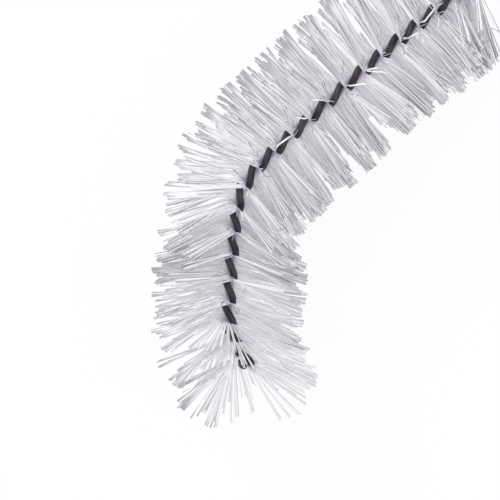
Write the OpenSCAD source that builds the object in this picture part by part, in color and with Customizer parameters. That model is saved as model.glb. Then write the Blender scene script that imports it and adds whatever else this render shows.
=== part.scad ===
// Bottle brush of twisted wire with a bent neck, lying on its bristles.
// One steel wire is folded in two. The fold is the hanging ring, the two legs are twisted
// together, and rows of nylon filaments are gripped between the legs.

/* [Wire] */
// Diameter of the steel wire
wire_d = 2.2; // [1.8:0.1:2.7]
// Length of stem taken by one full turn of the twist
twist_lead = 14.8; // [12:0.1:18]
// Room that the filaments keep open between the two legs
grip_gap = 0.5; // [0.4:0.05:0.8]
// Gap between the two legs in the bare handle
bare_gap = 0.06; // [0.04:0.01:0.2]

/* [Handle] */
// Length of the bare twisted handle, from the last row to the ring
handle_len = 70; // [40:0.5:90]
// Diameter of the hole in the hanging ring
ring_d = 22; // [16:0.5:30]
// Bend radius where the legs leave the twist for the ring
ring_fillet = 4; // [3:0.5:6]
// Length of stem over which the twist dies out before the ring
twist_ease = 6; // [4:0.5:10]

/* [Bristles] */
// Diameter of the head over its bristle tips
head_d = 50; // [40:1:60]
// Thickness of the filaments gripped between the legs
grip_t = 0.3; // [0.2:0.02:0.36]
// Slit between two neighbouring tufts at their tips
tuft_slit = 1.5; // [0.8:0.1:3]
// Gap at the tips between the tufts of neighbouring rows, along a straight stem
tuft_gap = 2; // [1:0.1:4]
// Most that a tuft spreads to each side where the stem bends away
tuft_most = 4.5; // [3:0.5:8]
// Difference in length between long and short tufts
tuft_trim = 0.8; // [0:0.1:1.5]
// Gap along the stem between two rows
row_gap = 0.1; // [0.05:0.05:0.5]
// How far the gripped strip stands out of the grip between the legs
grip_past = 0.15; // [0.1:0.05:0.4]
// Bare stem between the cut ends of the wire and the first row
tip_bare = 1.5; // [1.25:0.25:3]

/* [Bends] */
// Length of the curl at the tip
curl_len = 22; // [18:1:28]
// Angle that the curl turns sideways
curl_turn = 50; // [20:5:70]
// Angle that the curl climbs
curl_climb = 50; // [20:5:60]
// Length of the lower arm, between the curl and the neck
arm_len = 28; // [24:1:40]
// Angle of the gentle arch of the lower arm
arm_angle = 3; // [0:0.5:8]
// Length of the bent neck
neck_len = 20; // [18:1:30]
// Angle between the lower arm and the upper arm
neck_angle = 41; // [20:1:45]
// Angle of the gentle arch of the upper arm
arch_angle = 5.5; // [0:0.5:10]

/* [Lean of the bristles towards the tip] */
// Lean of the first row, at the tip
lean_tip = 22; // [0:1:30]
// Lean at the foot of the curl
lean_curl = 20; // [0:1:30]
// Lean in the second quarter of the lower arm, where the bristles stand freely
lean_arm = 10; // [0:1:20]
// Lean just below the neck
lean_neck = 32; // [0:1:40]
// Lean of the last row before the handle
lean_end = 20; // [0:1:25]
// Length of stem past the neck over which the lean dies out
lean_fade = 5; // [0:1:15]
// Length of stem over which the last rows lean more and more
lean_rise = 26; // [10:1:40]

/* [Hidden] */
row_count = 21;
tufts = 12;
wire_sides = 8;
turn_sections = 10;
ring_sections = 30;
fillet_sections = 5;
step = 0.5;
shuffle = 137;

row_pitch = twist_lead/2;
head_len = row_count*row_pitch + tip_bare;
stem_len = head_len + handle_len;
neck_start = curl_len + arm_len;
neck_end = neck_start + neck_len;
twist_r = (wire_d + grip_gap)/2;
bare_r = (wire_d + bare_gap)/2;
grip_r = twist_r + wire_d/2 + grip_past;
ring_r = (ring_d + wire_d)/2;

// Heading and climb of the stem against its length from the tip. Headings are level with the
// floor, and the straight stretches between these points are arcs of the stem.
headings = [
    [0, arch_angle + neck_angle + curl_turn],
    [curl_len, arch_angle + neck_angle + arm_angle],
    [neck_start, arch_angle + neck_angle],
    [neck_end, arch_angle],
    [head_len, 0]
];
climbs = [[0, curl_climb], [curl_len, 0]];
leans = [
    [0, lean_tip],
    [curl_len, lean_curl],
    [curl_len + arm_len/4, lean_arm],
    [curl_len + arm_len/2, lean_arm],
    [neck_start, lean_neck],
    [neck_start + neck_len/3, lean_neck],
    [neck_end + lean_fade, 0],
    [head_len - lean_rise, 0],
    [head_len, lean_end]
];

function row_name(i) = str("bristle_row_", i < 10 ? "0" : "", i);

// Direction of the stem, level side direction and upper direction at a length from the tip
function along(s) = let (h = lookup(s, headings), c = lookup(s, climbs))
    [cos(c)*cos(h), cos(c)*sin(h), -sin(c)];
function beside(s) = let (h = lookup(s, headings)) [-sin(h), cos(h), 0];
function above(s) = cross(along(s), beside(s));

// Centre line of the stem from the tip, in short steps, and a point on it
route = [for (i = 0, p = [0, 0, 0]; i*step <= stem_len + step; p = p + step*along((i + 0.5)*step), i = i + 1) p];
function stem(s) = s < 0 ? s*along(0)
    : let (i = floor(s/step)) route[i] + (s/step - i)*(route[i + 1] - route[i]);

// Angle of the line through both legs, seen along the stem: a left-hand twist
function twist(s) = let (u = stem_len - s)
    360/twist_lead*(u < twist_ease ? u*u/(2*twist_ease) : u - twist_ease/2);
// Direction square to the stem at an angle from the level side direction
function spoke(s, a) = cos(a)*beside(s) + sin(a)*above(s);

// Distance of each leg from the stem's centre line
function leg_r(s) = lookup(s, [[head_len, twist_r], [head_len + row_pitch, bare_r]]);

// Sections of the wire: [centre, outward direction], up one leg, round the ring, down the other
leg_count = ceil(stem_len/twist_lead*turn_sections);
function leg(side) = [for (i = [0:leg_count]) let (s = stem_len*i/leg_count, o = side*spoke(s, twist(s)))
    [stem(s) + leg_r(s)*o, o]];

module wire() {
    color([0.24, 0.235, 0.24]) laid() sweep(concat(leg(1), ring(), reverse(leg(-1))), wire_d/2);
}

// Ring: a fillet out of the twist, the round, and the mirrored fillet back into it
fillet_drop = bare_r + ring_fillet;
fillet_run = sqrt(pow(ring_r + ring_fillet, 2) - pow(fillet_drop, 2));
fillet_angle = atan2(fillet_run, fillet_drop);
function ring() =
    let (start = stem(stem_len), centre = start + [fillet_run, 0, 0], open = 90 - fillet_angle)
    concat(
        [for (i = [1:fillet_sections]) let (a = fillet_angle*i/fillet_sections)
            [start + [ring_fillet*sin(a), fillet_drop - ring_fillet*cos(a), 0], [-sin(a), cos(a), 0]]],
        [for (i = [1:ring_sections - 1]) let (a = 180 - open - (360 - 2*open)*i/ring_sections)
            [centre + ring_r*[cos(a), sin(a), 0], [cos(a), sin(a), 0]]],
        [for (i = [fillet_sections:-1:1]) let (a = fillet_angle*i/fillet_sections)
            [start + [ring_fillet*sin(a), ring_fillet*cos(a) - fillet_drop, 0], [-sin(a), -cos(a), 0]]]
    );

function reverse(v) = [for (i = [len(v) - 1:-1:0]) v[i]];
function unit(v) = v/norm(v);

// Round bar swept through sections given as [centre, outward direction]
module sweep(path, r) {
    n = len(path);
    points = [for (i = [0:n - 1])
        let (t = unit(path[min(i + 1, n - 1)][0] - path[max(i - 1, 0)][0]),
             side = unit(path[i][1] - (path[i][1]*t)*t),
             up = cross(t, side))
        each [for (j = [0:wire_sides - 1]) let (a = 360*(j + 0.5)/wire_sides)
            path[i][0] + r*(cos(a)*side + sin(a)*up)]];
    walls = [for (i = [0:n - 2], j = [0:wire_sides - 1])
        let (a = i*wire_sides + j, b = i*wire_sides + (j + 1)%wire_sides)
        each [[a, b + wire_sides, b], [a, a + wire_sides, b + wire_sides]]];
    first = [[for (j = [0:wire_sides - 1]) j]];
    last = [[for (j = [wire_sides - 1:-1:0]) (n - 1)*wire_sides + j]];
    polyhedron(points, concat(first, walls, last));
}

// Direction of the filaments that leave the stem at an angle round it. Past the curl's start
// none points further back than the lower arm's own, so that the curl's inner side stays clear.
back = along(curl_len);
function hair(s, a) =
    let (lean = lookup(s, leans), d = cos(lean)*spoke(s, a) - sin(lean)*along(s))
    s >= curl_len || d*back <= -sin(lean_curl) ? d
        : cos(lean_curl)*unit(d - (d*back)*back) - sin(lean_curl)*back;
function hair_end(s, a) = stem(s) + grip_r*spoke(s, a) + (head_d/2 - grip_r)*hair(s, a);

// End of one tuft: four corners. It is as thick as the room that the bends leave there, up to
// tuft_most to each side.
tuft_t = row_pitch - tuft_gap;
tuft_half = 90/tufts - tuft_slit/head_d*180/PI;
function tuft_tip(s, a, index) =
    let (cut = tuft_trim*(0.5 + 0.5*sin(index*shuffle))*hair(s, a))
    [for (corner = [[-1, 1], [-1, -1], [1, -1], [1, 1]])
        let (b = a + corner[1]*tuft_half, end = hair_end(s, b),
             reach = hair_end(s + corner[0]*tuft_t/2, b) - end)
        end + min(1, tuft_most/norm(reach))*reach - cut];

// One row: the filaments gripped along half a turn of the twist. The gripped strip follows
// the twist between the legs, and fans out into tufts on both sides.
module bristle_row(row) {
    cell = (row_pitch - row_gap)/tufts;
    s0 = tip_bare + (row - 1)*row_pitch + row_gap/2;
    strip = [for (k = [0:tufts]) let (s = s0 + k*cell)
        each strip_section(stem(s), grip_r*spoke(s, twist(s) + 90), grip_t/2*spoke(s, twist(s)))];
    spine = [for (k = [0:tufts - 1]) let (s = s0 + (k + 0.5)*cell, t = grip_t/2*spoke(s, twist(s)))
        each [stem(s) + t, stem(s) - t]];
    tips = [for (side = [0, 1], k = [0:tufts - 1]) let (s = s0 + (k + 0.5)*cell)
        each tuft_tip(s, twist(s) + 90 + 180*side, (row*tufts + k)*(side + 1))];
    m = len(strip);
    base = m + len(spine);
    top = [for (k = [0:tufts - 1]) let (a = 4*k) each quad_faces([a, a + 2, a + 6, a + 4], m + 2*k)];
    bottom = [for (k = [0:tufts - 1]) let (a = 4*k) each quad_faces([a + 3, a + 1, a + 5, a + 7], m + 2*k + 1)];
    ends = [[0, 1, 3], [0, 3, 2], [m - 4, m - 1, m - 3], [m - 4, m - 2, m - 1]];
    color([0.86, 0.85, 0.88]) laid() polyhedron(concat(strip, spine, tips), concat(top, bottom, ends,
        [for (k = [0:tufts - 1]) each tuft_faces([4*k, 4*k + 4, 4*k + 5, 4*k + 1], base + 4*k)],
        [for (k = [0:tufts - 1]) each tuft_faces([4*k + 3, 4*k + 7, 4*k + 6, 4*k + 2], base + 4*(tufts + k))]));
}

// Corners of the strip at one section: both faces at one edge, then at the other
function strip_section(c, e, t) = [c + e + t, c + e - t, c - e + t, c - e - t];

// Four triangles from the sides of a quad to a point in its middle
function quad_faces(quad, middle) = [for (j = [0:3]) [quad[j], quad[(j + 1)%4], middle]];

// Four walls and the end of a tuft that grows from a quad of the strip. Neighbouring walls
// are split along like diagonals, so that the slit between them stays open.
function tuft_faces(root, tip) = concat(
    [for (j = [0:2]) each [[root[j], root[j + 1], tip + j + 1], [root[j], tip + j + 1, tip + j]]],
    [[root[3], root[0], tip + 3], [root[0], tip, tip + 3]],
    [[tip, tip + 1, tip + 2], [tip, tip + 2, tip + 3]]);

// Tips of all tufts of some rows, as the brush is drawn, with its bends level
function row_tips(first, last) = [for (row = [first:last], k = [0:tufts - 1], side = [0, 1])
    let (s = tip_bare + (row - 1 + (k + 0.5)/tufts)*row_pitch)
    each tuft_tip(s, twist(s) + 90 + 180*side, (row*tufts + k)*(side + 1))];
function lowest(points, axis = 2) = min([for (p = points) p[axis]]);
function highest(points, axis) = max([for (p = points) p[axis]]);

// Place of the brush: it rolls about its straight upper arm until the lower arm, whose leaning
// bristles reach less deep, rests too. Its box is then centred on the origin, on the floor.
lower_rows = floor((curl_len + arm_len/2)/row_pitch);
drawn_tips = row_tips(1, row_count);
upper_rows = ceil((neck_start + neck_len/2)/row_pitch);
gap_below = lowest(row_tips(2, lower_rows)) - lowest(row_tips(upper_rows, row_count));
arm_offset = stem(stem_len)[1] - stem(curl_len)[1];
roll = atan2(gap_below, arm_offset);
rolled_tips = [for (p = drawn_tips) [p[0], p[1]*cos(roll) - p[2]*sin(roll), p[1]*sin(roll) + p[2]*cos(roll)]];
ring_end = stem(stem_len)[0] + fillet_run + ring_r + wire_d/2;
place = -[(lowest(rolled_tips, 0) + ring_end)/2, (lowest(rolled_tips, 1) + highest(rolled_tips, 1))/2,
    lowest(rolled_tips)];
module laid() {
    translate(place) rotate([roll, 0, 0]) children();
}

wire();
for (i = [1:row_count]) bristle_row(i);
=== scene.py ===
"""Looks of a bottle brush: nylon filaments held in a twisted, bent steel wire.

Everything is in metres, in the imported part's own frame. The brush lies on its bristles.
"""

import math

import bpy
import numpy as np
from mathutils import Matrix, Vector


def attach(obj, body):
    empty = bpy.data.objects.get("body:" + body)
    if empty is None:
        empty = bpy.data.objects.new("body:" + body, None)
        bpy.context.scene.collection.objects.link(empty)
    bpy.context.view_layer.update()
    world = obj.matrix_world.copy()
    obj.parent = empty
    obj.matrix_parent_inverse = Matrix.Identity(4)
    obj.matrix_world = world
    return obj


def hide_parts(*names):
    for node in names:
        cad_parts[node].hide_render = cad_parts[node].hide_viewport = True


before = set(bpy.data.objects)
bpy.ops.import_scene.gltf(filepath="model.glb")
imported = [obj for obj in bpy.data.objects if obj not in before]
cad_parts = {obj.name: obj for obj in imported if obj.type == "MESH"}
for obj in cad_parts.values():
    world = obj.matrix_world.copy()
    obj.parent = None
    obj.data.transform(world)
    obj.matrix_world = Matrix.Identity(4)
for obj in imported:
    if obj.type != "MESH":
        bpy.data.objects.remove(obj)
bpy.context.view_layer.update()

# ---------------------------------------------------------------------------------------
# Camera. The brush is drawn with its bends level, then rolled about its straight upper arm
# until the lower arm rests too. The camera looks square at the bends, from above, and is
# turned so that the upper arm climbs to the upper right.
# ---------------------------------------------------------------------------------------
MM = 0.001
ROLL = math.radians(1.24467)
PLACE = Vector((-101.735, -26.5889, 33.1192)) * MM
LAID = Matrix.Translation(PLACE) @ Matrix.Rotation(ROLL, 4, "X")

PIXELS = 500
PIXEL = 0.3125 * MM
VIEW_CENTRE = Vector((22.45, 27.84, -9.0)) * MM
VIEW_TURN = math.radians(-38)
VIEW_DISTANCE = 1.0

camera = bpy.data.objects.new("camera", bpy.data.cameras.new("camera"))
bpy.context.scene.collection.objects.link(camera)
bpy.context.scene.camera = camera
camera.data.lens = camera.data.sensor_width * VIEW_DISTANCE / (PIXELS * PIXEL)
camera.matrix_world = (
    LAID
    @ Matrix.Translation(VIEW_CENTRE)
    @ Matrix.Rotation(VIEW_TURN, 4, "Z")
    @ Matrix.Translation((0, 0, VIEW_DISTANCE))
)


# ---------------------------------------------------------------------------------------
# Floor and light. A pale studio floor, an even sky, one large soft lamp at the upper left
# and a weaker one across from it. Nothing here belongs to the brush.
# ---------------------------------------------------------------------------------------
class Shade:
    """A shader socket whose operators add the Math nodes of a material."""

    def __init__(self, nodes, socket):
        self.nodes, self.socket = nodes, socket

    def _math(self, operation, *values):
        return self.nodes.add("ShaderNodeMath", *values, operation=operation)

    def __add__(self, other):
        return self._math("ADD", self, other)

    def __sub__(self, other):
        return self._math("SUBTRACT", self, other)

    def __rsub__(self, other):
        return self._math("SUBTRACT", other, self)

    def __mul__(self, other):
        return self._math("MULTIPLY", self, other)

    __radd__ = __add__
    __rmul__ = __mul__

    def above(self, level, soft):
        """0 below level, 1 from level + soft, and a smooth step between."""
        return self.nodes.add(
            "ShaderNodeMapRange", self, level, level + soft, 0.0, 1.0,
            interpolation_type="SMOOTHSTEP", clamp=True,
        )


class Nodes:
    """The node tree of one material, or of the sky."""

    def __init__(self, owner):
        owner.use_nodes = True
        self.tree = owner.node_tree

    def node(self, kind, *values, named=None, **settings):
        """A node with its settings, and values or links for its sockets."""
        made = self.tree.nodes.new(kind)
        for name, value in settings.items():
            setattr(made, name, value)
        for key, value in [*enumerate(values), *(named or {}).items()]:
            if isinstance(value, Shade):
                self.tree.links.new(value.socket, made.inputs[key])
            else:
                made.inputs[key].default_value = value
        return made

    def add(self, kind, *values, out=0, **settings):
        """The output of a new node."""
        return Shade(self, self.node(kind, *values, **settings).outputs[out])

    def mix(self, factor, first, second):
        """Two colours mixed by a factor."""
        made = self.node("ShaderNodeMix", data_type="RGBA")
        for name, value in (("Factor_Float", factor), ("A_Color", first), ("B_Color", second)):
            socket = next(s for s in made.inputs if s.identifier == name)
            if isinstance(value, Shade):
                self.tree.links.new(value.socket, socket)
            else:
                socket.default_value = (*value, 1)
        result = next(s for s in made.outputs if s.identifier == "Result_Color")
        return Shade(self, result)

    def own(self, name):
        """One of the piece's own attributes."""
        made = self.node("ShaderNodeAttribute", attribute_name=name, attribute_type="GEOMETRY")
        return Shade(self, made.outputs["Fac"])

    def shader(self, **values):
        """Values or links for the material's Principled shader."""
        principled = self.tree.nodes["Principled BSDF"]
        for name, value in values.items():
            socket = principled.inputs[name.replace("_", " ").title()]
            if isinstance(value, Shade):
                self.tree.links.new(value.socket, socket)
            else:
                socket.default_value = value


WHITE = (1, 1, 1, 1)
FLOOR_COLOUR = (0.93, 0.93, 0.935, 1)
FLOOR_ROUGHNESS = 0.8
FLOOR_GLOW = 0.9
FLOOR_SIZE = 6.0
SKY_STRENGTH = 0.95
LAMPS = {
    "key_lamp": {"offset": (-0.85, 0.85, 0.9), "size": 0.7, "power": 6.5},
    "fill_lamp": {"offset": (0.9, -0.3, 0.9), "size": 0.8, "power": 1.0},
}

bpy.ops.object.select_all(action="DESELECT")
bpy.ops.mesh.primitive_plane_add(size=FLOOR_SIZE)
floor = bpy.context.object
floor.name = "floor"
floor.data.materials.append(bpy.data.materials.new("pale_floor"))
floor_nodes = Nodes(floor.data.materials[0])
floor_nodes.shader(base_color=FLOOR_COLOUR, roughness=FLOOR_ROUGHNESS)
# Seen straight or mirrored the floor is nearly white, and keeps a little of its shadow
seen = floor_nodes.node("ShaderNodeLightPath")
straight, mirrored = [Shade(floor_nodes, seen.outputs[n]) for n in ("Is Camera Ray", "Is Glossy Ray")]
glow = floor_nodes.add("ShaderNodeEmission", WHITE, 1.0)
lit = Shade(floor_nodes, floor_nodes.tree.nodes["Principled BSDF"].outputs[0])
pale = floor_nodes.add("ShaderNodeMixShader", (straight + mirrored) * FLOOR_GLOW, lit, glow)
surface = floor_nodes.tree.nodes["Material Output"].inputs["Surface"]
floor_nodes.tree.links.new(pale.socket, surface)

sky = bpy.data.worlds.new("sky")
bpy.context.scene.world = sky
background = Nodes(sky).tree.nodes["Background"]
background.inputs["Color"].default_value = WHITE
background.inputs["Strength"].default_value = SKY_STRENGTH

aim = LAID @ VIEW_CENTRE
view_axes = LAID.to_3x3() @ Matrix.Rotation(VIEW_TURN, 3, "Z")
for lamp_name, lamp_values in LAMPS.items():
    lamp = bpy.data.objects.new(lamp_name, bpy.data.lights.new(lamp_name, "AREA"))
    bpy.context.scene.collection.objects.link(lamp)
    lamp.data.shape = "DISK"
    lamp.data.size = lamp_values["size"]
    lamp.data.energy = lamp_values["power"]
    offset = view_axes @ Vector(lamp_values["offset"])
    lamp.location = aim + offset
    lamp.rotation_euler = offset.to_track_quat("Z", "Y").to_euler()

bpy.context.scene.view_settings.view_transform = "Standard"

# ---------------------------------------------------------------------------------------
# Wire. One dark steel wire, folded in two: the fold is the hanging ring, and both legs are
# twisted left-handed round each other down to the tip, through the two bends. It is swept
# as one round bar along the same centre line as the part's own.
# ---------------------------------------------------------------------------------------
WIRE_D = 2.2 * MM
TWIST_LEAD = 14.8 * MM
GRIP_GAP = 0.5 * MM
BARE_GAP = 0.06 * MM
HANDLE_LEN = 70 * MM
RING_D = 22 * MM
RING_FILLET = 4 * MM
TWIST_EASE = 6 * MM
CURL_LEN, CURL_TURN, CURL_CLIMB = 22 * MM, 50, 50
ARM_LEN, ARM_ANGLE = 28 * MM, 3
NECK_LEN, NECK_ANGLE = 20 * MM, 41
ARCH_ANGLE = 5.5
ROW_COUNT = 21
TIP_BARE = 1.5 * MM
STEP = 0.5 * MM

row_pitch = TWIST_LEAD / 2
head_len = ROW_COUNT * row_pitch + TIP_BARE
stem_len = head_len + HANDLE_LEN
neck_start = CURL_LEN + ARM_LEN
neck_end = neck_start + NECK_LEN
twist_r = (WIRE_D + GRIP_GAP) / 2
bare_r = (WIRE_D + BARE_GAP) / 2
ring_r = (RING_D + WIRE_D) / 2

# Tables along the stem: lengths from the tip, then the value at each
HEADINGS = (
    (0, CURL_LEN, neck_start, neck_end, head_len),
    (
        ARCH_ANGLE + NECK_ANGLE + CURL_TURN,
        ARCH_ANGLE + NECK_ANGLE + ARM_ANGLE,
        ARCH_ANGLE + NECK_ANGLE,
        ARCH_ANGLE,
        0,
    ),
)
CLIMBS = ((0, CURL_LEN), (CURL_CLIMB, 0))
TWIST_RADII = ((head_len, head_len + row_pitch), (twist_r, bare_r))


def between(s, table):
    """Value at a length from the tip, on the straight lines through a table's points."""
    return float(np.interp(s, *table))


def along(s):
    """Direction of the stem at a length from the tip, towards the handle."""
    heading = math.radians(between(s, HEADINGS))
    climb = math.radians(between(s, CLIMBS))
    return Vector(
        (
            math.cos(climb) * math.cos(heading),
            math.cos(climb) * math.sin(heading),
            -math.sin(climb),
        )
    )


def beside(s):
    """Level direction square to the stem, to its upper side."""
    heading = math.radians(between(s, HEADINGS))
    return Vector((-math.sin(heading), math.cos(heading), 0))


def upward(s):
    """Direction square to the stem and to the level one, away from the floor."""
    return along(s).cross(beside(s))


def spoke(s, angle):
    """Direction square to the stem, at an angle in degrees from the level one."""
    turn = math.radians(angle)
    return math.cos(turn) * beside(s) + math.sin(turn) * upward(s)


route = [Vector((0, 0, 0))]
while (len(route) - 2) * STEP < stem_len:
    route.append(route[-1] + STEP * along((len(route) - 0.5) * STEP))


def stem(s):
    """Point of the stem's centre line at a length from the tip."""
    if s < 0:
        return s * along(0)
    i = min(int(s / STEP), len(route) - 2)
    return route[i].lerp(route[i + 1], s / STEP - i)


def twist(s):
    """Angle of the line through both legs, in degrees."""
    u = stem_len - s
    turned = u * u / (2 * TWIST_EASE) if u < TWIST_EASE else u - TWIST_EASE / 2
    return 360 * turned / TWIST_LEAD


SECTIONS_PER_TURN = 28
RING_SECTIONS = 90
FILLET_SECTIONS = 10


def leg(side):
    """Centre line of one leg, from the tip to the ring."""
    count = math.ceil(stem_len / TWIST_LEAD * SECTIONS_PER_TURN)
    points = []
    for i in range(count + 1):
        s = stem_len * i / count
        points.append(stem(s) + side * between(s, TWIST_RADII) * spoke(s, twist(s)))
    return points


def ring():
    """Centre line of the fold: a fillet, the round, and a fillet back."""
    drop = bare_r + RING_FILLET
    run = math.sqrt((ring_r + RING_FILLET) ** 2 - drop**2)
    fillet = math.atan2(run, drop)
    start = stem(stem_len)
    centre = start + Vector((run, 0, 0))
    points = []
    for i in range(1, FILLET_SECTIONS + 1):
        angle = fillet * i / FILLET_SECTIONS
        lift = Vector((math.sin(angle), -math.cos(angle), 0)) * RING_FILLET
        points.append(start + lift + Vector((0, drop, 0)))
    open_half = math.pi / 2 - fillet
    for i in range(1, RING_SECTIONS):
        angle = math.pi - open_half - (2 * math.pi - 2 * open_half) * i / RING_SECTIONS
        points.append(centre + ring_r * Vector((math.cos(angle), math.sin(angle), 0)))
    for i in range(FILLET_SECTIONS, 0, -1):
        angle = fillet * i / FILLET_SECTIONS
        lift = Vector((math.sin(angle), math.cos(angle), 0)) * RING_FILLET
        points.append(start + lift - Vector((0, drop, 0)))
    return points


def bars(name, lines, radius, roundness, end=1):
    """Closed round bars along several lines, as one mesh piece. Their ends may be narrower."""
    curve = bpy.data.curves.new(name, "CURVE")
    curve.dimensions = "3D"
    curve.bevel_depth = radius
    curve.bevel_resolution = roundness
    curve.use_fill_caps = True
    for line in lines:
        spline = curve.splines.new("POLY")
        spline.points.add(len(line) - 1)
        placed = [(*(LAID @ point), 1) for point in line]
        spline.points.foreach_set("co", np.ravel(placed))
        spline.points[0].radius = spline.points[-1].radius = end
    piece = bpy.data.objects.new(name, curve)
    bpy.context.scene.collection.objects.link(piece)
    bpy.ops.object.select_all(action="DESELECT")
    piece.select_set(True)
    bpy.context.view_layer.objects.active = piece
    bpy.ops.object.convert(target="MESH")
    piece = bpy.context.object
    piece.data.name = name
    return piece


WELD_WITHIN = 1e-7


def weld():
    """Join the caps of the selected bars to their walls."""
    bpy.ops.object.mode_set(mode="EDIT")
    bpy.ops.mesh.select_all(action="SELECT")
    bpy.ops.mesh.remove_doubles(threshold=WELD_WITHIN)
    bpy.ops.object.mode_set(mode="OBJECT")


WIRE_ROUNDNESS = 6
SMOOTH_BELOW = math.radians(50)
CUT_CHAMFER = 0.2 * MM

wire_line = leg(1) + ring() + leg(-1)[::-1]
# The cut ends are blunt, with a small chamfer
first_inwards = (wire_line[1] - wire_line[0]).normalized()
last_inwards = (wire_line[-2] - wire_line[-1]).normalized()
wire_line.insert(1, wire_line[0] + first_inwards * CUT_CHAMFER)
wire_line.insert(-1, wire_line[-1] + last_inwards * CUT_CHAMFER)
blunt = 1 - 2 * CUT_CHAMFER / WIRE_D
wire = bars("wire_stem", [wire_line], WIRE_D / 2, WIRE_ROUNDNESS, end=blunt)
weld()
bpy.ops.object.shade_smooth_by_angle(angle=SMOOTH_BELOW)
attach(wire, "root")
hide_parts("wire")

DARK_OXIDE, PALE_OXIDE = (0.027, 0.023, 0.032), (0.062, 0.056, 0.067)
STAIN_SCALE, GRAIN_SCALE = 260.0, 2400.0
GRAIN_DEPTH = 0.1 * MM
CUT_COLOUR = (0.46, 0.45, 0.44, 1)
OBJECT_COORDINATES = 3

dark_steel = bpy.data.materials.new("dark_steel")
steel_nodes = Nodes(dark_steel)
where = steel_nodes.add("ShaderNodeTexCoord", out=OBJECT_COORDINATES)
stain, grain = [
    steel_nodes.add("ShaderNodeTexNoise", named={"Vector": where, "Scale": scale, "Detail": detail})
    for scale, detail in ((STAIN_SCALE, 4.0), (GRAIN_SCALE, 2.0))
]
steel_nodes.shader(
    base_color=steel_nodes.mix(stain.above(0.35, 0.3), DARK_OXIDE, PALE_OXIDE),
    metallic=0.35,
    roughness=0.32 + 0.3 * grain,
    normal=steel_nodes.add(
        "ShaderNodeBump", named={"Strength": 0.12, "Distance": GRAIN_DEPTH, "Height": grain}
    ),
)
cut_steel = bpy.data.materials.new("cut_steel")
Nodes(cut_steel).shader(base_color=CUT_COLOUR, metallic=0.9, roughness=0.4)
wire.data.materials.clear()
wire.data.materials.append(dark_steel)
wire.data.materials.append(cut_steel)
for face in wire.data.polygons:
    # Only the caps at the cut ends have more than four corners
    if len(face.vertices) > 4:
        face.material_index = 1

# ---------------------------------------------------------------------------------------
# Bristles. Straight nylon filaments lie across the stem, gripped at their middles between
# the legs, one row to each half turn of the twist. They leave the wire in small bunches,
# are swept where the brush was drawn through a mouth, and are trimmed to one diameter.
# ---------------------------------------------------------------------------------------
HEAD_D = 50 * MM
FILAMENT_D = 0.28 * MM
FILAMENT_PITCH = 0.32 * MM
PER_ROW = 144
ROW_GAP = 0.1 * MM
GRIP_PAST = 0.15 * MM
# How far the filaments lean towards the tip
LEAN_TIP, LEAN_CURL, LEAN_ARM, LEAN_NECK, LEAN_END = 22, 20, 10, 32, 20
LEAN_FADE, LEAN_RISE = 5 * MM, 26 * MM
LEANS = (
    (
        0,
        CURL_LEN,
        CURL_LEN + ARM_LEN / 4,
        CURL_LEN + ARM_LEN / 2,
        neck_start,
        neck_start + NECK_LEN / 3,
        neck_end + LEAN_FADE,
        head_len - LEAN_RISE,
        head_len,
    ),
    (LEAN_TIP, LEAN_CURL, LEAN_ARM, LEAN_ARM, LEAN_NECK, LEAN_NECK, 0, 0, LEAN_END),
)
# The last rows before the handle are the messiest, and those of the lower arm the most even
MESS = ((head_len - 4 * row_pitch, head_len - 1.5 * row_pitch), (0, 1))
CONTRASTS = ((CURL_LEN, neck_start), (0.6, 1))

grip_r = twist_r + WIRE_D / 2 + GRIP_PAST
# Length of stem that one filament takes in the grip
grip_step = (row_pitch - ROW_GAP) / PER_ROW
back = along(CURL_LEN)
# Two seeded runs of random numbers: for the bunches, and for single filaments within them
hand = np.random.default_rng(21)
whisker = np.random.default_rng(4)


def draw(low, high):
    """One random number between two values."""
    return float(hand.uniform(low, high))


def grip_angle(s, side):
    """Angle round the stem at which filaments leave the grip between the legs, on one side."""
    return twist(s) + 90 + 180 * side


def hair(s, angle):
    """Direction of the filaments that leave the stem at an angle round it."""
    lean = math.radians(between(s, LEANS))
    limit = math.radians(LEAN_CURL)
    way = math.cos(lean) * spoke(s, angle) - math.sin(lean) * along(s)
    if s < CURL_LEN and way.dot(back) > -math.sin(limit):
        # In the curl none points further back than the lower arm's own
        level = (way - way.dot(back) * back).normalized()
        way = math.cos(limit) * level - math.sin(limit) * back
    return way


def hair_end(s, angle):
    """Point that a filament's tip reaches from a length of stem, at an angle round it."""
    return stem(s) + grip_r * spoke(s, angle) + (HEAD_D / 2 - grip_r) * hair(s, angle)


# How much more the filaments are swept towards the tip, on the upper and the lower side
SWEEP_PLACES = [s * MM for s in (65, 72, 79, 87, 94, 102, 109, 117, 124, 132, 139, 146, 153)]
UPPER_SWEEP = (2, 11, 10, 9, 8, 6, 3, -2, -5, -6, -6, -6, -6)
LOWER_SWEEP = (0, 0, 5, 6, 5, 2, -8, -15, -18, -13, -15, -9, 5)
# The filaments on top part, at this angle from upright, + to the upper side, and lie down to
# these angles on the upper side, 1, and on the lower side, -1
PARTING = -16
PARTED_TO = {1: 46, -1: 44}
PARTED_UNEVEN = 8
# Those within this angle of level keep their way, and those underneath splay where they lie
KEPT = 20
SPLAYED = (0.5, 1)


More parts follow.
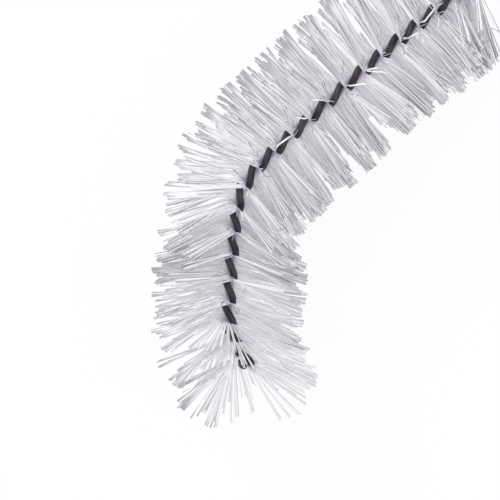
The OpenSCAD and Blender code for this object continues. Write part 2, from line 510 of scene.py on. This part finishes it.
def swept(s, way):
    """A bunch's direction after use: swept along the stem, and parted on top."""
    side = beside(s)
    if s > CURL_LEN:
        from_top = math.degrees(math.atan2(way.dot(side), way.dot(upward(s))))
        onto = 1 if from_top > PARTING else -1
        from_level = 90 - onto * from_top
        if from_level > KEPT:
            edge = PARTED_TO[onto] + draw(-PARTED_UNEVEN, PARTED_UNEVEN)
            room = 90 - onto * PARTING - KEPT
            from_level = KEPT + (from_level - KEPT) * (90 - edge - KEPT) / room
        elif from_level < 0:
            from_level *= draw(*SPLAYED)
        lain = (90 - from_level) * onto
        way = Matrix.Rotation(math.radians(from_top - lain), 3, along(s)) @ way
    sweep = between(s, (SWEEP_PLACES, UPPER_SWEEP if way.dot(side) > 0 else LOWER_SWEEP))
    return (way - math.sin(math.radians(sweep) * abs(way.dot(side))) * along(s)).normalized()


# Slits of the lower side: length of stem, depth from it where the slit starts, and half its
# width at the tips
SLITS = [
    (place * MM, depth * MM, width * MM)
    for place, depth, width in (
        (79.6, 14, 1.9),
        (83.4, 18, 1.1),
        (91.4, 5, 2.2),
        (97.0, 16, 1.4),
        (104.7, 10, 2.8),
        (130.9, 17, 1.2),
        (137.5, 16, 1.2),
    )
]


def parted_at_slits(s, way, half_width):
    """The direction of a bunch of the lower side, turned along the stem out of the slits."""
    aside = -way.dot(beside(s)) * HEAD_D / 2
    onward = way.dot(along(s)) * HEAD_D / 2
    for place, depth, width in SLITS:
        if aside > depth:
            side = 1 if s + onward * depth / aside > place else -1
            edge = place + side * (width * (aside - depth) / (HEAD_D / 2 - depth) + half_width)
            missing = side * (edge - s - onward)
            if missing > 0:
                onward += side * missing
                way = (way + side * missing / (HEAD_D / 2) * along(s)).normalized()
    return way


# How far a bunch may end from where its grip points, and the share of that where it stands up.
# The last rows also go astray
MOST_SPREAD = 5.5 * MM
UPRIGHT_SPREAD = 0.6
MOST_ASTRAY = 0.12


def bunch_ways(s, angle, place, half_width):
    """A bunch's direction as it was trimmed, and as it is after use.

    It leaves the grip at its angle, and ends at its place, in rows from there along the stem.
    """
    own_end = hair_end(s, angle)
    shift = hair_end(s + place * row_pitch, angle) - own_end
    shift *= UPRIGHT_SPREAD + (1 - UPRIGHT_SPREAD) * abs(spoke(s, angle).dot(beside(s)))
    if shift.length > MOST_SPREAD:
        shift *= MOST_SPREAD / shift.length
    root = stem(s) + grip_r * spoke(s, angle)
    trimmed = (own_end + shift - root).normalized()
    worn = swept(s, trimmed)
    astray = Vector([draw(-MOST_ASTRAY, MOST_ASTRAY) for _ in range(3)])
    worn = (worn + between(s, MESS) * astray).normalized()
    if worn.dot(beside(s)) < 0:
        worn = parted_at_slits(s, worn, half_width)
    return trimmed, worn


# Lengths along a filament at which it has a point, before its tip
HALF_PLACES = (2.0 * MM, 3.4 * MM, 6.0 * MM, 10.5 * MM, 17 * MM)
ROOT_BEND = 1.8 * MM
SPREAD_POWER = 0.7


def half_points(start, out, way, length, spread, bow):
    """Points of half a filament, which leaves the grip squarely and then bends to its way."""
    points = []
    for reach in (*HALF_PLACES, length):
        if reach <= grip_r:
            points.append(start + reach * out)
            continue
        free = (reach - grip_r) / (length - grip_r)
        bent = ROOT_BEND * (1 - math.exp((grip_r - reach) / ROOT_BEND))
        point = start + (grip_r + bent) * out + (reach - grip_r - bent) * way
        point += free**SPREAD_POWER * spread + free * free * bow
        points.append(point)
    return points


# Tones run from white, 0, to dark, 1. Some filaments of a bunch are white or dark throughout:
# white ones are a painted highlight, dark ones painted shade lines. Their share, what the mess
# adds to it, and their tones
PLAIN_TONE = 0.10
EDGE_OUTLINE_SHADES = (0.5, 1)
INNER_TONE = 0.8
# The lower side, turned away from the key lamp, is painted darker: painted shade
UPPER_POWER, LOWER_POWER = 5, 2
HIGHLIGHT_SHARE, HIGHLIGHT_MESS, HIGHLIGHT_TONES = 0.06, 1 / 6, (0, 0.12)
SHADE_LINE_SHARE, SHADE_LINE_MESS, SHADE_LINE_TONES = 0.03, 1 / 3, (0.8, 1)
# Dark filaments of the lower side are painted darker still: painted shade
LOWER_SHADE_GAIN = 1.3


def filament_tone(at_edge, upper, mess, contrast):
    """Tone of one filament of a bunch, painted shade and painted highlight included."""
    # Those at the edges of a bunch are painted darker, as clear nylon looks at an outline: painted
    # outline shade
    if at_edge:
        tone = draw(*EDGE_OUTLINE_SHADES)
    else:
        tone = INNER_TONE * draw(0, 1) ** (UPPER_POWER if upper else LOWER_POWER)
    tone = PLAIN_TONE + (1 - PLAIN_TONE) * tone * contrast
    # Painted highlight and shade: white filaments stand for highlight lines, dark ones for shade
    # lines
    if draw(0, 1) < HIGHLIGHT_SHARE + HIGHLIGHT_MESS * mess:
        tone = draw(*HIGHLIGHT_TONES)
    elif draw(0, 1) < SHADE_LINE_SHARE + SHADE_LINE_MESS * mess:
        tone = draw(*SHADE_LINE_TONES) * (1 if upper else LOWER_SHADE_GAIN)
    return tone


# Painted shade gathers at roots that leave the wire upwards, and at tips that lie level. So a
# level root counts as further out, and a tip as less far where it stands up, or is of the lower side
SHADED_ROOT = 0.22
UPRIGHT_REACH, LEVEL_REACH = 0.7, 0.3
LOWER_REACH, MESSY_REACH = 0.9, 0.3
ROOT_SHADES = (0.7, 1.5)


def half_reaches(points, start, out, way, level, mess):
    """Painted shade along half a filament: how far out each point counts, 0 at the stem, 1 at the
    tip.
    """
    bare = SHADED_ROOT * abs(out.dot(level))
    flat = UPRIGHT_REACH + LEVEL_REACH * abs(way.dot(level))
    if way.dot(level) <= 0:
        flat *= LOWER_REACH - MESSY_REACH * mess
    reaches = [max(bare, (point - start).length / (HEAD_D / 2) * flat) for point in points]
    near = whisker.uniform(*ROOT_SHADES)
    return [reach * (near + (1 - near) * reach) for reach in reaches]


# How far the tips stand past the trimmed diameter, on the upper and the lower side
UPPER_LENGTHS = (
    (0, 15 * MM, 60 * MM, 75 * MM, 95 * MM, 110 * MM),
    (1.5 * MM, 0, 0, 1.2 * MM, 1.2 * MM, 0.5 * MM),
)
LOWER_LENGTHS = ((0, 15 * MM, 120 * MM, 140 * MM), (1.5 * MM, 0, 0.3 * MM, 1.3 * MM))
# How far the tips of the lower side are bowed towards the brush's tip
LOWER_BOW = ((105 * MM, 124 * MM, 139 * MM, 150 * MM), (0, 2 * MM, 2 * MM, 1 * MM))
# A bunch is a flat ribbon of filaments, turned either way on the upper side, where it is packed
# closer, and nearly along the stem on the lower side
BUNCH_THICKNESS = 0.5 * MM
UPPER_TURN, LOWER_TURN = 1.2, 0.5
UPPER_PACKED = 0.62
PITCH_UNEVEN = 0.25
# Every bunch has a bow of its own, and is cut a little short and uneven, all in mm, and aslant
BOW_ROUND, BOW_ALONG = 0.8, 0.4
CUT_SHORT, CUT_ASLANT, CUT_UNEVEN = 0.9, 0.45, 0.15
# Shares of filaments that spring out of their bunch, what the mess adds to them, and how far
SPRUNG = ((0.05, 0.25, 2.5 * MM), (0.17, 0.5, 0.7 * MM), (1, 0, 0.08 * MM))
# A few filaments between two rows stay upright, either pale or dark. All that stand up catch
# the most light, so they are painted a little greyer: painted shade that offsets that light
STANDING_FROM = 0.7
STANDING_SHARE = 0.13
STANDING_UP = 4
STANDING_UNEVEN = 0.35
STANDING_TONES = (0.1, 1)
UPRIGHT_PAINTED_SHADE = 0.17


def half_bunch(first, count, side, place):
    """One side of a bunch: each filament's points, tones and reaches, from grip to tip."""
    middle = first + count / 2 * grip_step
    half_width = count * FILAMENT_PITCH / 2
    trimmed, worn = bunch_ways(middle, grip_angle(middle, side), place, half_width)
    mess, contrast = between(middle, MESS), between(middle, CONTRASTS)
    level, top = beside(middle), upward(middle)
    upper = worn.dot(level) > 0
    parted = middle > CURL_LEN and trimmed.dot(top) > STANDING_FROM

    around = worn.cross(along(middle)).normalized()
    lengthwise = around.cross(worn)
    if upper:
        turn = draw(-UPPER_TURN, UPPER_TURN)
    else:
        turn = math.pi / 2 + draw(-LOWER_TURN, LOWER_TURN)
    wide = math.cos(turn) * around + math.sin(turn) * lengthwise
    thin = math.cos(turn) * lengthwise - math.sin(turn) * around
    bow = (draw(-BOW_ROUND, BOW_ROUND) * around + draw(-BOW_ALONG, BOW_ALONG) * lengthwise) * MM
    if not upper:
        bow -= between(middle, LOWER_BOW) * abs(worn.dot(level)) * along(middle)
    longer = between(middle, UPPER_LENGTHS if upper else LOWER_LENGTHS)
    short = draw(0, CUT_SHORT) * MM
    aslant = draw(-CUT_ASLANT, CUT_ASLANT)

    halves = []
    for j in range(count):
        across = (j + 0.5 - count / 2 + draw(-PITCH_UNEVEN, PITCH_UNEVEN)) * FILAMENT_PITCH
        across *= UPPER_PACKED if upper else 1
        through = draw(-0.5, 0.5) * BUNCH_THICKNESS
        kind = draw(0, 1)
        sprung = next(far for share, more, far in SPRUNG if kind < share + more * mess)
        spread = across * wide + through * thin + draw(-sprung, sprung) * around
        spread += draw(-sprung, sprung) * lengthwise
        uneven = abs(float(hand.normal(0, CUT_UNEVEN))) * MM
        length = HEAD_D / 2 + longer - max(0, short + aslant * across + uneven)
        standing = parted and whisker.uniform() < STANDING_SHARE
        way = worn
        if standing:
            way = trimmed + Vector(whisker.uniform(-STANDING_UNEVEN, STANDING_UNEVEN, 3))
            way = (way.normalized() + STANDING_UP * top).normalized()
        s = first + (j + 0.5) * grip_step
        start = stem(s)
        out = spoke(s, grip_angle(s, side))
        points = half_points(start, out, way, length, spread, bow)

        tone = filament_tone(j in (0, count - 1), upper, mess, contrast)
        if standing:
            tone = float(whisker.choice(STANDING_TONES))
        # Painted shade: filaments that stand up are made greyer, as they catch the most light
        tone += UPRIGHT_PAINTED_SHADE * max(0, worn.dot(top))
        reaches = half_reaches(points, start, out, worn, level, mess)
        halves.append((points, [tone] * len(points), reaches))
    return halves


# Filaments in a bunch: on the lower arm, and on both sides of the upper arm
ARM_BUNCHES, UPPER_BUNCHES, LOWER_BUNCHES = (2, 5), (5, 10), (3, 9)
# Where a bunch ends, in rows from its own: by chance on the lower arm, and evenly on the upper
# arm, by steps of the golden section
GOLDEN_STEP, ROW_STEP = 0.618, 0.37
ARM_PLACES = 0.6
UPPER_PLACES, LEVEL_NARROWER, UPPER_CHANCE = 0.75, 0.25, 0.15
LOWER_FANS, FAN_SHIFT = (0.3, 0.62), 0.12
# Bunches that leave level to the upper side gather in clumps, with clear slits between. The
# spacing of the clumps is in mm
LEVEL_GAIN = 1.6
GATHERED = 0.92
CLUMP_SPACING = (0.9, 1.7)
clumps = [-row_pitch]
while clumps[-1] < head_len + row_pitch:
    clumps.append(clumps[-1] + draw(*CLUMP_SPACING) * MM)


def side_halves(s0, side, row):
    """All filament halves on one side of a row, bunch by bunch."""
    halves = []
    bunch = 0
    fan = draw(*LOWER_FANS)
    fan_shift = draw(-FAN_SHIFT, FAN_SHIFT)
    while len(halves) < PER_ROW:
        first = s0 + len(halves) * grip_step
        upper = math.cos(math.radians(grip_angle(first, side)))
        sizes = UPPER_BUNCHES if upper > 0 else LOWER_BUNCHES
        if s0 < neck_start:
            sizes = ARM_BUNCHES
        count = min(int(hand.integers(*sizes, endpoint=True)), PER_ROW - len(halves))
        middle = s0 + (len(halves) + count / 2) * grip_step
        even = (bunch * GOLDEN_STEP + row * ROW_STEP) % 1
        if middle < neck_start:
            place = draw(-ARM_PLACES, ARM_PLACES)
        elif upper > 0:
            level_share = min(1, LEVEL_GAIN * upper)
            place = UPPER_CHANCE * draw(-1, 1) + (1 - UPPER_CHANCE) * (2 * even - 1)
            place *= UPPER_PLACES - LEVEL_NARROWER * level_share
            clump = min(clumps, key=lambda c: abs(c - middle - place * row_pitch))
            gathered = GATHERED * level_share
            place = place * (1 - gathered) + gathered * (clump - middle) / row_pitch
        else:
            place = fan * (even - 0.5) + fan_shift
        halves += half_bunch(first, count, side, place)
        bunch += 1
    return halves


FLOOR_CLEARANCE = 0.2 * MM


def row_filaments(row):
    """All filaments of one row: centre lines, and the tone and the reach along each."""
    s0 = TIP_BARE + (row - 1) * row_pitch + ROW_GAP / 2
    lines, tones, reaches = [], [], []
    pairs = zip(side_halves(s0, 0, row), side_halves(s0, 1, row))
    for j, (one, other) in enumerate(pairs):
        line = other[0][::-1] + [stem(s0 + (j + 0.5) * grip_step)] + one[0]
        for point in line:
            # A filament that meets the floor bends along it
            low = (LAID @ point).z - FLOOR_CLEARANCE
            if low < 0:
                point.z -= low
        lines.append(line)
        tones.append(other[1][::-1] + [(other[1][0] + one[1][0]) / 2] + one[1])
        reaches.append(other[2][::-1] + [0] + one[2])
    return lines, tones, reaches


# Filaments bent across the wire, two at a time: the grip that they leave, and two points that
# they pass, as length of stem and offset to the side, in mm
CAUGHT = (
    (75.3, (77.4, 0.2), (81.2, -0.3)),
    (90.3, (88.8, 0.7), (87.6, 2.2)),
    (98.0, (96.6, 1.5), (95.0, 2.9)),
    (105.5, (106.3, -1.2), (109.7, -3.4)),
    (113.0, (113.6, -0.9), (115.9, -2.2)),
    (113.0, (113.4, -1.3), (116.5, -4.4)),
    (120.5, (119.6, -0.9), (120.9, -3.0)),
    (128.2, (129.6, -1.6), (132.7, -2.2)),
    (135.7, (137.0, -0.8), (141.6, 0.2)),
)
CAUGHT_HEIGHT, CAUGHT_START = 2.95 * MM, 0.8
CAUGHT_RISE, CAUGHT_DROP = 0.3, 1.5 * MM
# One stray strand: its grip, and how far along, beside and over it the strand ends, in mm
STRAY = (144.2, 11.0, -21.0, 2.0)
STRAY_PARTS = 4
PALE, DARK = 0, 1


def over(s, aside, height):
    """Point beside and over the stem at a length from the tip."""
    return stem(s) + aside * beside(s) + height * upward(s)


def row_at(s):
    """Number of the row that is gripped at a length of stem."""
    return int((s - TIP_BARE) / row_pitch) + 1


def single_filaments(row):
    """Centre line and tone of each of the few single filaments of a row."""
    lines = []
    for grip, *passed in CAUGHT:
        if row_at(grip * MM) != row:
            continue
        (s1, a1), (s2, a2) = [(s * MM, aside * MM) for s, aside in passed]
        rise = CAUGHT_HEIGHT + CAUGHT_RISE * abs(a2)
        for beyond in (0, FILAMENT_D):
            line = [
                stem(grip * MM),
                over((grip * MM + s1) / 2, a1 / 2 + beyond, CAUGHT_START * CAUGHT_HEIGHT),
                over(s1, a1 + beyond, CAUGHT_HEIGHT),
                over(s2, a2 + beyond, rise),
                over(s2 + (s2 - s1) / 2, a2 + (a2 - a1) / 2, rise - CAUGHT_DROP),
            ]
            lines.append((line, PALE))
    root, onward, aside, height = (v * MM for v in STRAY)
    if row_at(root) == row:
        end = over(root + onward, aside, height)
        line = [stem(root).lerp(end, i / STRAY_PARTS) for i in range(STRAY_PARTS + 1)]
        lines.append((line, DARK))
    return lines


# Clear nylon and its painted dark outlines, painted purple grey shade at the roots, and painted
# grey shade at the tips. A weak glow stands for the light that scatters from filament to filament
CLEAR, OUTLINED = (0.94, 0.93, 0.96), (0.2, 0.195, 0.22)
ROOT_SHADE_COLOUR, TIP_SHADE_COLOUR = (0.42, 0.38, 0.5), (0.38, 0.37, 0.395)
ROOT_CONTRAST = 0.3
SCATTERED = 0.24

nylon = bpy.data.materials.new("nylon")
nylon_nodes = Nodes(nylon)
tone = nylon_nodes.own("tone")
reach = nylon_nodes.own("reach")
outline = PLAIN_TONE + (tone - PLAIN_TONE) * (ROOT_CONTRAST + (1 - ROOT_CONTRAST) * reach)
body = nylon_nodes.mix(outline, CLEAR, OUTLINED)
# Painted shade: purple grey at the roots and grey at the tips, masked by the reach attribute
root_shaded = nylon_nodes.mix(reach.above(0.09, 0.12), ROOT_SHADE_COLOUR, body)
tip_shaded = nylon_nodes.mix(reach.above(0.8, 0.2), root_shaded, TIP_SHADE_COLOUR)
nylon_nodes.shader(
    base_color=tip_shaded, roughness=0.35, emission_color=tip_shaded, emission_strength=SCATTERED
)

# A bar without roundness has four sides
FILAMENT_ROUNDNESS, FILAMENT_SIDES = 0, 4
SINGLE_REACH = 0.5


def own_values(piece, name, lines):
    """Give a piece of filaments an attribute from values along each of their lines."""
    # The caps come first, last filament first, and then every section in turn
    ends = [end for line in reversed(lines) for end in (line[-1], line[0])]
    sections = [section for line in lines for section in line]
    made = piece.data.attributes.new(name, "FLOAT", "POINT")
    made.data.foreach_set("value", np.repeat(ends + sections, FILAMENT_SIDES))


for row in range(1, ROW_COUNT + 1):
    lines, tones, reaches = row_filaments(row)
    for line, own_tone in single_filaments(row):
        lines.append(line)
        tones.append([own_tone] * len(line))
        reaches.append([SINGLE_REACH] * len(line))
    piece = bars(f"filaments_{row:02d}", lines, FILAMENT_D / 2, FILAMENT_ROUNDNESS)
    own_values(piece, "tone", tones)
    own_values(piece, "reach", reaches)
    weld()
    piece.data.materials.clear()
    piece.data.materials.append(nylon)
    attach(piece, "root")
    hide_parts(f"bristle_row_{row:02d}")
